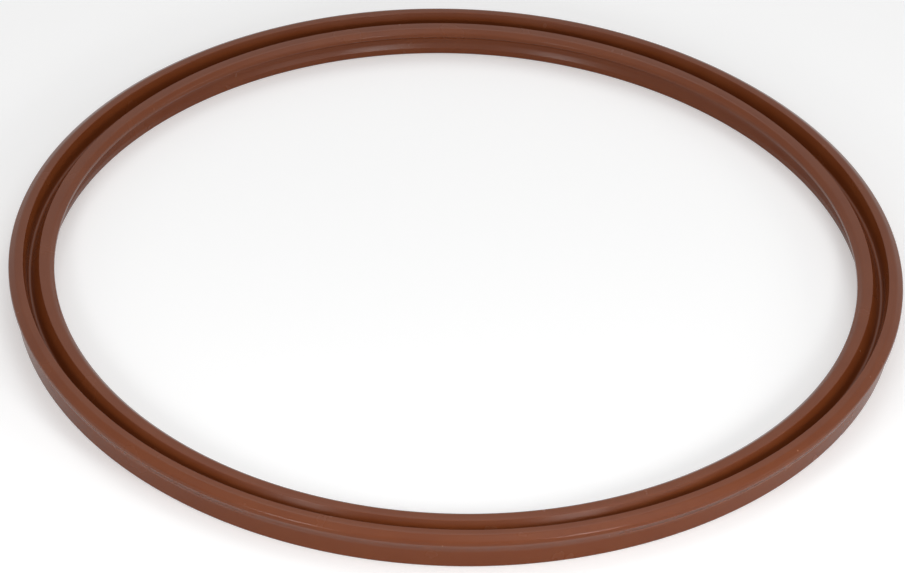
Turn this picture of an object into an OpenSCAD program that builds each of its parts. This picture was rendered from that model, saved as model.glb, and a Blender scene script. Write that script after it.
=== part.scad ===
// Two-lip rubber U-ring for a gearbox, moulded in one piece.
// Millimetres. The ring's axis is Z, its heel stands on Z = 0 and its lips point up.
// One section, drawn in the (radius, height) plane, is turned about the axis.

/* [Ring] */
// Free diameter over the outer sealing edge
outer_d = 200; // [120:1:400]
// Radial width from the inner to the outer sealing edge
section_w = 10.2; // [9.8:0.1:11.4]

/* [Heel] */
// Radial width of the heel
heel_w = 7; // [6.6:0.1:7.4]
// Height of the heel's straight outer side
heel_h = 4.4; // [3:0.1:4.6]
// Distance that the outer sealing edge stands out past the heel
outer_flare = 1.4; // [1.1:0.1:1.7]
// Radius on the heel's two bottom edges
heel_edge_r = 0.5; // [0.2:0.1:0.9]
// Radius where the heel's outer side runs into the back of the outer lip
waist_r = 2; // [1:0.1:2.5]

/* [Bore side] */
// Height of the heel's straight side in the bore, below the hollow
foot_h = 1.7; // [1.6:0.1:1.9]
// Radius on the top edge of that straight side
foot_edge_r = 0.4; // [0.2:0.1:0.6]
// Height of the hollow's corner, where the back of the inner lip begins, before it is rounded
hollow_z = 4; // [3.9:0.1:4.2]
// Depth of that corner past the heel's straight side, before it is rounded
hollow_depth = 1.1; // [0.9:0.05:1.2]
// Radius in the bottom of the hollow
hollow_r = 1.6; // [0.8:0.1:1.6]

/* [Lips] */
// Height of the outer lip's flat top
outer_lip_h = 8.7; // [8.5:0.05:9.2]
// Height of the inner lip's flat top
inner_lip_h = 8; // [7.8:0.05:8.6]
// Width of the outer lip, from its sealing edge to the groove
outer_lip_w = 3.2; // [2.9:0.05:3.4]
// Width of the inner lip, from its sealing edge to the groove
inner_lip_w = 3.35; // [3:0.05:3.5]
// Width of the flat land on top of the outer lip
outer_land_w = 1.7; // [1.3:0.1:1.9]
// Width of the flat land on top of the inner lip
inner_land_w = 2.2; // [1.6:0.1:2.4]
// Depth of the blunt sealing edge's top below the flat top of its lip
edge_drop = 0.95; // [0.8:0.05:1.3]
// Height of the blunt sealing edge before its two corners are rounded
edge_h = 0.95; // [0.9:0.05:1.2]
// Radius on the upper corner of each sealing edge
edge_top_r = 0.6; // [0.3:0.05:0.7]
// Radius on its lower corner, which leaves a short straight band between the two
edge_low_r = 0.35; // [0.2:0.05:0.4]

/* [Groove] */
// Height of the groove's floor above the heel's face
groove_floor_z = 4.85; // [4.4:0.05:5.3]
// Radial width of the groove's floor before rounding
groove_floor_w = 0.8; // [0.8:0.05:1.1]
// Distance of the floor's middle outwards from the middle of the groove's mouth
groove_floor_shift = 0.35; // [0:0.05:0.6]
// Radius in the two corners of the groove's floor
groove_floor_r = 0.5; // [0.2:0.05:0.5]
// Radius on the two edges of the groove's mouth
groove_edge_r = 0.25; // [0.1:0.05:0.35]

/* [Hidden] */
$fn = 180;
ARC_STEPS = 5;
LAND_EDGE_R = 1.2;
outer_r = outer_d / 2;
inner_r = outer_r - section_w;
heel_outer_r = outer_r - outer_flare;
heel_inner_r = heel_outer_r - heel_w;
mouth_outer_r = outer_r - outer_lip_w;
mouth_inner_r = inner_r + inner_lip_w;
floor_mid_r = (mouth_inner_r + mouth_outer_r) / 2 + groove_floor_shift;
outer_edge_z = outer_lip_h - edge_drop;
inner_edge_z = inner_lip_h - edge_drop;

// Corners of the section, each [radius, height, rounding], anticlockwise from the bore side
SECTION = [
    [heel_inner_r, 0, heel_edge_r],
    [heel_outer_r, 0, heel_edge_r],
    [heel_outer_r, heel_h, waist_r],
    [outer_r, outer_edge_z - edge_h, edge_low_r],
    [outer_r, outer_edge_z, edge_top_r],
    [mouth_outer_r + outer_land_w, outer_lip_h, LAND_EDGE_R],
    [mouth_outer_r, outer_lip_h, groove_edge_r],
    [floor_mid_r + groove_floor_w / 2, groove_floor_z, groove_floor_r],
    [floor_mid_r - groove_floor_w / 2, groove_floor_z, groove_floor_r],
    [mouth_inner_r, inner_lip_h, groove_edge_r],
    [mouth_inner_r - inner_land_w, inner_lip_h, LAND_EDGE_R],
    [inner_r, inner_edge_z, edge_top_r],
    [inner_r, inner_edge_z - edge_h, edge_low_r],
    [heel_inner_r + hollow_depth, hollow_z, hollow_r],
    [heel_inner_r, foot_h, foot_edge_r],
];

function place(corner) = [corner[0], corner[1]];
function unit(v) = v / norm(v);
function bearing(v) = atan2(v[1], v[0]);

// Points of the arc of radius r that rounds the corner at v between a and b
function rounded(a, v, b, r) =
    let (
        to_a = unit(a - v),
        to_b = unit(b - v),
        half = acos(to_a * to_b) / 2,
        centre = v + unit(to_a + to_b) * r / sin(half),
        start = bearing(v + to_a * r / tan(half) - centre),
        end = bearing(v + to_b * r / tan(half) - centre),
        sweep = (end - start + 540) % 360 - 180
    )
    [for (i = [0:ARC_STEPS]) centre + r * [cos(start + sweep * i / ARC_STEPS), sin(start + sweep * i / ARC_STEPS)]];

// The whole ring: heel, two flared lips and the groove between them
module seal_ring() {
    last = len(SECTION) - 1;
    color("#7c4e3c")
    rotate_extrude()
    polygon([
        for (i = [0:last])
            let (a = SECTION[i == 0 ? last : i - 1], v = SECTION[i], b = SECTION[i == last ? 0 : i + 1])
            each rounded(place(a), place(v), place(b), v[2])
    ]);
}

seal_ring();
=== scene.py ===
"""Gearbox seal: a moulded brown rubber U-ring, lying on its heel on a pale floor in soft studio light."""

from math import atan2, cos, radians, sin, tan, tau

import bmesh
import bpy
from bpy.props import FloatProperty, FloatVectorProperty, IntProperty, PointerProperty
from bpy.types import Operator, Panel, PropertyGroup
from mathutils import Matrix, Vector


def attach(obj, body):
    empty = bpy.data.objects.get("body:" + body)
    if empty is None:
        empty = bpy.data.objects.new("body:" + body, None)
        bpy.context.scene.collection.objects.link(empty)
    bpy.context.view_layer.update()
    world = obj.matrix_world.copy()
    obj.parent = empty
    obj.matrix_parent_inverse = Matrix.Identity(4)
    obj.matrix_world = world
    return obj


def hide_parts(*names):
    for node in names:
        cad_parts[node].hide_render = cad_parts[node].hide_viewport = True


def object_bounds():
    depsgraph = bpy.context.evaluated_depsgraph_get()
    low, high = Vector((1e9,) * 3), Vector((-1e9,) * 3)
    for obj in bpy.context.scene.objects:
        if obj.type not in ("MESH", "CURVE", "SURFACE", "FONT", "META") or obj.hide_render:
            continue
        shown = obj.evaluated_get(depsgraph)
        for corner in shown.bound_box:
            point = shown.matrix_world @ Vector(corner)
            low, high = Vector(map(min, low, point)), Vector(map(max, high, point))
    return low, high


bl_info = {
    "name": "Gearbox Seal",
    "version": (1, 0, 0),
    "blender": (4, 5, 0),
    "location": "3D View > Sidebar > Seal",
    "description": "Builds a rubber U-ring seal with its material, its stage and its light",
    "category": "Object",
}

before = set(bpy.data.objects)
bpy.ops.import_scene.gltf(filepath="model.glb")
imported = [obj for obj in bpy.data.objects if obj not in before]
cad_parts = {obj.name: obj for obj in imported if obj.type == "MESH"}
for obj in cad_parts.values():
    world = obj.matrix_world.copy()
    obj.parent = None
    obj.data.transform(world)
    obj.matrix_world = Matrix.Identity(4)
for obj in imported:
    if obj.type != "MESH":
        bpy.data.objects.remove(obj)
cad_low, cad_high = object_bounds()

# Lengths are in metres, so a size in millimetres is multiplied by MM
MM = 0.001
BODY = "root"
NODE = "seal_ring"
CORNER_STEPS = 8
MERGE_DISTANCE = 0.001 * MM

RUBBER_IOR = 1.5
ROUGHNESS_SPREAD = 0.03
RELIEF_DEPTH = 0.01 * MM
RELIEF_STRENGTH = 0.3
SPECK_SHARE = 0.2
SPECK_STRENGTH = 0.8

SENSOR_WIDTH = 36
FLOOR_REACH = 4
FLOOR_GREY = 0.8
FADE_START = 0.3
FADE_END = 1
FAR_WHITE = 0.8

# Each softbox: its name, degrees to the right of the camera's side, degrees above the floor,
# metres away, side in metres, watts, and whether shiny surfaces mirror it
SOFTBOXES = (
    ("key_right", 30, 23.5, 0.3, 0.05, 0.19, True),
    ("key_left", -30, 23.5, 0.3, 0.05, 0.14, True),
    ("front_low", 0, 15, 1, 0.5, 1.2, False),
    ("side_right", 54, 17.5, 0.5, 0.14, 0.12, True),
    ("panel_right", 85, 24, 1, 0.3, 0.8, True),
    ("panel_left", -85, 24, 1, 0.3, 0.4, True),
    ("top_right", 60, 65, 1, 0.6, 1.3, True),
    ("top_left", -60, 65, 1, 0.6, 0.5, True),
    ("top_front", 0, 65, 1, 0.6, 0.3, True),
    ("top_back", 180, 65, 1, 0.6, 1.7, True),
)


def linear(hex_colour):
    """An sRGB hex colour as linear red, green and blue."""
    channels = [int(hex_colour[i:i + 2], 16) / 255 for i in (1, 3, 5)]
    return tuple(c / 12.92 if c <= 0.04045 else ((c + 0.055) / 1.055) ** 2.4 for c in channels)


def length(name, description, default):
    """A property for a length, with its default in millimetres."""
    return FloatProperty(name=name, description=description, default=default * MM, precision=5,
                         unit="LENGTH", subtype="DISTANCE")


def angle(name, description, default):
    """A property for an angle, with its default in degrees."""
    return FloatProperty(name=name, description=description, default=radians(default),
                         unit="ROTATION", subtype="ANGLE")


def factor(name, description, default):
    """A property for a value from 0 to 1."""
    return FloatProperty(name=name, description=description, default=default, min=0, max=1, subtype="FACTOR")


def colour(name, description, default):
    """A property for a colour, with its default as sRGB hex."""
    return FloatVectorProperty(name=name, description=description, default=linear(default),
                               size=3, min=0, max=1, subtype="COLOR")


class SealRingSize(PropertyGroup):
    """Sizes of the ring's section and of its slightly relaxed outline"""
    outer_diameter: length("Outer diameter", "Free diameter over the outer sealing edge",
                           (cad_high.x - cad_low.x) / MM)
    section_width: length("Section width", "Radial width from the inner to the outer sealing edge", 10.2)
    heel_width: length("Heel width", "Radial width of the heel", 7)
    heel_height: length("Heel height", "Height of the heel's straight outer side", 4.4)
    heel_edge_radius: length("Heel edge radius", "Radius on the heel's bottom edges", 0.5)
    outer_flare: length("Outer flare", "Distance that the outer sealing edge stands out past the heel", 1.4)
    waist_radius: length("Waist radius", "Radius where the heel runs into the back of the outer lip", 2)
    foot_height: length("Foot height", "Height of the heel's straight side in the bore", 1.7)
    foot_edge_radius: length("Foot edge radius", "Radius on the top edge of that straight side", 0.4)
    hollow_height: length("Hollow height", "Height of the hollow's corner in the bore, before rounding", 4)
    hollow_depth: length("Hollow depth", "Depth of that corner past the heel's straight side", 1.1)
    hollow_radius: length("Hollow radius", "Radius in the bottom of the hollow in the bore", 1.6)
    outer_lip_height: length("Outer lip height", "Height of the outer lip's flat top", 8.7)
    inner_lip_height: length("Inner lip height", "Height of the inner lip's flat top", 8)
    outer_lip_width: length("Outer lip width", "From the outer sealing edge to the groove", 3.2)
    inner_lip_width: length("Inner lip width", "From the inner sealing edge to the groove", 3.35)
    outer_land_width: length("Outer land width", "Width of the flat land on top of the outer lip", 1.7)
    inner_land_width: length("Inner land width", "Width of the flat land on top of the inner lip", 2.2)
    land_edge_radius: length("Land edge radius", "Radius between the land and the slanted face", 1.2)
    edge_drop: length("Edge drop", "Depth of the blunt sealing edge's top below the land", 0.95)
    edge_height: length("Edge height", "Height of the blunt sealing edge before rounding", 0.95)
    edge_top_radius: length("Edge top radius", "Radius on the upper corner of each sealing edge", 0.6)
    edge_low_radius: length("Edge low radius", "Radius on the lower corner of each sealing edge", 0.35)
    groove_floor_height: length("Groove floor height", "Height of the groove's floor", 4.85)
    groove_floor_width: length("Groove floor width", "Width of the floor before rounding", 0.8)
    groove_floor_shift: length("Groove floor shift", "Outward shift from the mouth's middle", 0.35)
    groove_floor_radius: length("Groove floor radius", "Radius in the corners of the floor", 0.5)
    groove_edge_radius: length("Groove edge radius", "Radius on the edges of the groove's mouth", 0.25)
    oval: length("Oval", "How far the relaxed ring is pulled out along its long axis", 0.4)
    oval_turn: angle("Oval turn", "Direction of the long axis, from +X towards +Y", 45)
    three_lobes: length("Three lobes", "Height of the three faint lobes of the relaxed outline", 0.23)
    three_turn: angle("Three lobes' turn", "Direction of the first of the three lobes", -17)
    four_lobes: length("Four lobes", "Height of the four faint lobes of the relaxed outline", 0.19)
    four_turn: angle("Four lobes' turn", "Direction of the first of the four lobes", -3)
    steps: IntProperty(name="Steps", description="Steps of the section round the axis", default=480, min=48)


class SealRubberLook(PropertyGroup):
    """Colours and texture of the moulded rubber"""
    base: colour("Rubber", "Brown of the moulded rubber", "#6b3417")
    pale: colour("Pale rubber", "Paler brown of the faint clouds in the rubber", "#6f381a")
    speck: colour("Speck", "Pale brown of the tiny specks of dust on the rubber", "#a8755a")
    roughness: factor("Roughness", "Satin of the moulded surface", 0.25)
    specular: factor("Specular", "Strength of the rubber's own reflection", 0.24)
    cloud_size: length("Cloud size", "Width of the faint clouds of paler rubber", 9)
    grain_size: length("Grain size", "Width of the fine grain of the surface", 0.5)
    speck_spacing: length("Speck spacing", "Size of the patches that may hold one speck each", 5)
    speck_width: length("Speck width", "Width of a speck", 0.45)


class SealStageLook(PropertyGroup):
    """Camera, floor and light"""
    aim_right: length("Aim right", "Point looked at, to the right of the ring's centre", -0.55)
    aim_up: length("Aim up", "Point looked at, above the floor", -1.8)
    camera_distance: length("Camera distance", "From the ring's centre to the camera", 904.45)
    camera_elevation: angle("Camera elevation", "Height of the camera above the floor, as an angle", 36.875)
    camera_roll: angle("Camera roll", "Turn of the camera about its own line of sight", 2.588)
    lens: FloatProperty(name="Lens", description="Focal length in millimetres", default=159.3, unit="CAMERA")
    room_light: factor("Room light", "Strength of the even light from all round", 0.3)
    floor_white: factor("Floor white", "Added to the lit floor where it is seen or mirrored", 0.3)


def section_corners(size):
    """Corners of the section as (radius, height, rounding), anticlockwise from the bore side of the heel."""
    outer = size.outer_diameter / 2
    inner = outer - size.section_width
    heel_outer = outer - size.outer_flare
    heel_inner = heel_outer - size.heel_width
    mouth_outer = outer - size.outer_lip_width
    mouth_inner = inner + size.inner_lip_width
    floor_middle = (mouth_inner + mouth_outer) / 2 + size.groove_floor_shift
    floor_half = size.groove_floor_width / 2
    outer_edge = size.outer_lip_height - size.edge_drop
    inner_edge = size.inner_lip_height - size.edge_drop
    return [
        (heel_inner, 0, size.heel_edge_radius),
        (heel_outer, 0, size.heel_edge_radius),
        (heel_outer, size.heel_height, size.waist_radius),
        (outer, outer_edge - size.edge_height, size.edge_low_radius),
        (outer, outer_edge, size.edge_top_radius),
        (mouth_outer + size.outer_land_width, size.outer_lip_height, size.land_edge_radius),
        (mouth_outer, size.outer_lip_height, size.groove_edge_radius),
        (floor_middle + floor_half, size.groove_floor_height, size.groove_floor_radius),
        (floor_middle - floor_half, size.groove_floor_height, size.groove_floor_radius),
        (mouth_inner, size.inner_lip_height, size.groove_edge_radius),
        (mouth_inner - size.inner_land_width, size.inner_lip_height, size.land_edge_radius),
        (inner, inner_edge, size.edge_top_radius),
        (inner, inner_edge - size.edge_height, size.edge_low_radius),
        (heel_inner + size.hollow_depth, size.hollow_height, size.hollow_radius),
        (heel_inner, size.foot_height, size.foot_edge_radius),
    ]


def round_corners(bm, corners):
    """Rounds each corner of the flat section, given as a vertex and its radius."""
    for vert, radius in corners:
        sides = [(edge.other_vert(vert).co - vert.co).normalized() for edge in vert.link_edges]
        reach = radius / tan(sides[0].angle(sides[1]) / 2)
        bmesh.ops.bevel(bm, geom=[vert], offset=reach, offset_type="OFFSET", segments=CORNER_STEPS,
                        profile=0.5, affect="VERTICES", material=-1, clamp_overlap=False)


def relaxed_reach(size, around):
    """How far the soft ring's outline stands out from a true circle at an angle round its axis."""
    return (size.oval * cos(2 * (around - size.oval_turn))
            + size.three_lobes * cos(3 * (around - size.three_turn))
            + size.four_lobes * cos(4 * (around - size.four_turn)))


def smooth_mesh_object(name, bm, material):
    """A shaded-smooth mesh object in the scene, made from a bmesh in its final place."""
    mesh = bpy.data.meshes.new(name)
    bm.to_mesh(mesh)
    bm.free()
    mesh.shade_smooth()
    mesh.materials.append(material)
    made = bpy.data.objects.new(name, mesh)
    bpy.context.scene.collection.objects.link(made)
    return made


def add_node(tree, kind, settings=None, links=None):
    """Adds a node. Settings are attributes or inputs, links are inputs, each by name or by index."""
    node = tree.nodes.new(kind)
    for key, value in (settings or {}).items():
        if isinstance(key, str) and hasattr(node, key):
            setattr(node, key, value)
        else:
            node.inputs[key].default_value = value
    for key, socket in (links or {}).items():
        tree.links.new(socket, node.inputs[key])
    return node


def add_math(tree, operation, first, second):
    """The result of a Math node on a socket and a second socket or number."""
    as_link = isinstance(second, bpy.types.NodeSocket)
    settings = {"operation": operation} if as_link else {"operation": operation, 1: second}
    links = {0: first, 1: second} if as_link else {0: first}
    return add_node(tree, "ShaderNodeMath", settings, links).outputs[0]


def add_noise(tree, place, size, detail):
    """Soft noise from 0 to 1 whose patches are about as wide as size."""
    return add_node(tree, "ShaderNodeTexNoise", {"Scale": 1 / size, "Detail": detail, "Roughness": 0.5},
                    {"Vector": place}).outputs["Fac"]


def add_range(tree, value, low, high, from_low=0.3, from_high=0.7):
    """A value with its middle range turned into the range from low to high, and held there past its ends."""
    return add_node(tree, "ShaderNodeMapRange",
                    {"From Min": from_low, "From Max": from_high, "To Min": low, "To Max": high},
                    {"Value": value}).outputs["Result"]


def add_colour_mix(tree, share, low, high):
    """Mixes two colours, each a socket or a linear colour."""
    mix = add_node(tree, "ShaderNodeMix", {"data_type": "RGBA"}, {"Factor": share})
    for index, colour_in in ((6, low), (7, high)):
        if isinstance(colour_in, bpy.types.NodeSocket):
            tree.links.new(colour_in, mix.inputs[index])
        else:
            mix.inputs[index].default_value = (*colour_in, 1)
    return mix.outputs[2]


def new_material(name):
    """An empty node material and its output node."""
    material = bpy.data.materials.new(name)
    material.use_nodes = True
    material.node_tree.nodes.clear()
    return material, material.node_tree.nodes.new("ShaderNodeOutputMaterial")


def moulded_rubber(look):
    """Fluoro-rubber from a steel mould: an even satin brown with a soft sheen on its rounded edges.

    Seen close, it has faint paler clouds, a fine grain and a few tiny pale specks of dust. The grain is drawn
    coarser than the real one, so that it shows.
    """
    material, output = new_material("moulded_fluoro_rubber")
    tree = material.node_tree
    place = add_node(tree, "ShaderNodeTexCoord").outputs["Object"]
    clouds = add_noise(tree, place, look.cloud_size, 3)
    grain = add_noise(tree, place, look.grain_size, 2)

    # One patch in five holds a speck, at its middle
    cells = add_node(tree, "ShaderNodeTexVoronoi", {"Scale": 1 / look.speck_spacing}, {"Vector": place})
    chance = add_node(tree, "ShaderNodeSeparateColor", links={"Color": cells.outputs["Color"]}).outputs["Red"]
    edge = look.speck_width / look.speck_spacing / 2
    near = add_range(tree, cells.outputs["Distance"], 1, 0, edge / 2, edge)
    chosen = add_math(tree, "GREATER_THAN", chance, 1 - SPECK_SHARE)
    specks = add_math(tree, "MULTIPLY", near, chosen)

    clouded = add_colour_mix(tree, add_range(tree, clouds, 0, 1), look.base, look.pale)
    stained = add_colour_mix(tree, add_range(tree, specks, 0, SPECK_STRENGTH, 0, 1), clouded, look.speck)
    satin = add_range(tree, clouds, look.roughness - ROUGHNESS_SPREAD, look.roughness + ROUGHNESS_SPREAD)
    relief = add_node(tree, "ShaderNodeBump", {"Strength": RELIEF_STRENGTH, "Distance": RELIEF_DEPTH},
                      {"Height": grain})
    shader = add_node(tree, "ShaderNodeBsdfPrincipled",
                      {"IOR": RUBBER_IOR, "Specular IOR Level": look.specular},
                      {"Base Color": stained, "Roughness": satin, "Normal": relief.outputs["Normal"]})
    tree.links.new(shader.outputs["BSDF"], output.inputs["Surface"])
    return material


class SEAL_OT_add_ring(Operator):
    """Build the moulded rubber ring: heel, two flared lips and the groove between them"""
    bl_idname = "seal.add_ring"
    bl_label = "Add Seal Ring"
    bl_options = {"REGISTER", "UNDO"}

    def execute(self, context):
        size = context.scene.seal_ring_size
        bm = bmesh.new()
        corners = [(bm.verts.new((radius, 0, height)), rounding)
                   for radius, height, rounding in section_corners(size)]
        bm.faces.new([vert for vert, _ in corners])
        round_corners(bm, corners)
        bmesh.ops.delete(bm, geom=bm.faces[:], context="FACES_ONLY")
        bmesh.ops.spin(bm, geom=bm.edges[:], cent=(0, 0, 0), axis=(0, 0, 1), angle=tau, steps=size.steps,
                       use_merge=True, use_duplicate=False)
        bmesh.ops.remove_doubles(bm, verts=bm.verts[:], dist=MERGE_DISTANCE)
        for vert in bm.verts:
            outward = Vector((vert.co.x, vert.co.y, 0)).normalized()
            vert.co += outward * relaxed_reach(size, atan2(vert.co.y, vert.co.x))
        bmesh.ops.recalc_face_normals(bm, faces=bm.faces[:])
        ring = smooth_mesh_object("rubber_u_ring", bm, moulded_rubber(context.scene.seal_rubber_look))
        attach(ring, BODY)
        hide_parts(NODE)
        return {"FINISHED"}


def seen_or_mirrored(tree):
    """1 for rays that come from the camera, from a reflection or through glass, otherwise 0."""
    rays = add_node(tree, "ShaderNodeLightPath").outputs
    either = add_math(tree, "MAXIMUM", rays["Is Camera Ray"], rays["Is Glossy Ray"])
    return add_math(tree, "MAXIMUM", either, rays["Is Transmission Ray"])


def floor_material(white):
    """Pale studio floor: matt white that keeps the object's shadow, made to look brighter than it is lit.

    Far from the object it fades into the white background.
    """
    material, output = new_material("pale_studio_floor")
    tree = material.node_tree
    matt = add_node(tree, "ShaderNodeBsdfDiffuse", {"Color": (FLOOR_GREY, FLOOR_GREY, FLOOR_GREY, 1)})
    place = add_node(tree, "ShaderNodeTexCoord").outputs["Object"]
    away = add_node(tree, "ShaderNodeVectorMath", {"operation": "LENGTH"}, {0: place}).outputs["Value"]
    added = add_range(tree, away, white, FAR_WHITE, FADE_START, FADE_END)
    strength = add_math(tree, "MULTIPLY", seen_or_mirrored(tree), added)
    glow = add_node(tree, "ShaderNodeEmission", {"Color": (1, 1, 1, 1)}, {"Strength": strength})
    both = add_node(tree, "ShaderNodeAddShader", links={0: matt.outputs[0], 1: glow.outputs[0]})
    tree.links.new(both.outputs[0], output.inputs["Surface"])
    return material


def studio_world(room_light):
    """Even light from all round, and a white background where it is seen or mirrored."""
    world = bpy.data.worlds.new("studio")
    world.use_nodes = True
    tree = world.node_tree
    tree.nodes.clear()
    strength = add_math(tree, "MAXIMUM", seen_or_mirrored(tree), room_light)
    background = add_node(tree, "ShaderNodeBackground", {"Color": (1, 1, 1, 1)}, {"Strength": strength})
    add_node(tree, "ShaderNodeOutputWorld", links={"Surface": background.outputs[0]})
    return world


def add_camera(look):
    """A camera that stands off the ring's -Y side and looks down at it, rolled as in the photograph."""
    data = bpy.data.cameras.new("camera")
    data.sensor_width = SENSOR_WIDTH
    data.lens = look.lens
    camera = bpy.data.objects.new("camera", data)
    bpy.context.scene.collection.objects.link(camera)
    back = Vector((0, -cos(look.camera_elevation), sin(look.camera_elevation)))
    place = back * look.camera_distance
    aim = Vector((look.aim_right, 0, look.aim_up))
    turn = (aim - place).to_track_quat("-Z", "Y").to_matrix()
    turn = turn @ Matrix.Rotation(look.camera_roll, 3, "Z")
    camera.matrix_world = Matrix.LocRotScale(place, turn, None)
    return camera


def add_softbox(name, around, above, distance, side, watts, mirrored):
    """A square lamp that faces the ring's centre, around degrees to the right of the camera's side."""
    light = bpy.data.lights.new(name, "AREA")
    light.shape = "SQUARE"
    light.size = side
    light.energy = watts
    lamp = bpy.data.objects.new(name, light)
    lamp.visible_glossy = mirrored
    back = Vector((sin(around) * cos(above), -cos(around) * cos(above), sin(above)))
    lamp.location = back * distance
    lamp.rotation_euler = back.to_track_quat("Z", "Y").to_euler()
    bpy.context.scene.collection.objects.link(lamp)


class SEAL_OT_add_stage(Operator):
    """Set the camera at the photograph's angle, the pale floor, the background and the lamps"""
    bl_idname = "seal.add_stage"
    bl_label = "Add Stage"
    bl_options = {"REGISTER", "UNDO"}

    def execute(self, context):
        look = context.scene.seal_stage_look
        context.scene.camera = add_camera(look)
        bm = bmesh.new()
        bmesh.ops.create_grid(bm, x_segments=1, y_segments=1, size=FLOOR_REACH)
        floor = smooth_mesh_object("floor", bm, floor_material(look.floor_white))
        context.scene.world = studio_world(look.room_light)
        for name, around, above, distance, side, watts, mirrored in SOFTBOXES:
            add_softbox(name, radians(around), radians(above), distance, side, watts, mirrored)
        context.scene.view_settings.view_transform = "Standard"
        return {"FINISHED"}


class SEAL_PT_sidebar(Panel):
    """Sizes and colours of the seal, with a button for each part"""
    bl_idname = "SEAL_PT_sidebar"
    bl_label = "Gearbox Seal"
    bl_space_type = "VIEW_3D"
    bl_region_type = "UI"
    bl_category = "Seal"

    def draw(self, context):
        for group_name in GROUPS:
            group = getattr(context.scene, group_name)
            box = self.layout.box()
            for name in group.__annotations__:
                box.prop(group, name)
        for operator in OPERATORS:
            self.layout.operator(operator.bl_idname)


GROUPS = {
    "seal_ring_size": SealRingSize,
    "seal_rubber_look": SealRubberLook,
    "seal_stage_look": SealStageLook,
}
OPERATORS = (SEAL_OT_add_ring, SEAL_OT_add_stage)
CLASSES = (*GROUPS.values(), *OPERATORS, SEAL_PT_sidebar)


def register():
    for cls in CLASSES:
        bpy.utils.register_class(cls)
    for name, group in GROUPS.items():
        setattr(bpy.types.Scene, name, PointerProperty(type=group))


def unregister():
    for name in GROUPS:
        delattr(bpy.types.Scene, name)
    for cls in reversed(CLASSES):
        bpy.utils.unregister_class(cls)


def main():
    register()
    bpy.ops.seal.add_ring()
    bpy.ops.seal.add_stage()


if __name__ == "__main__":
    main()
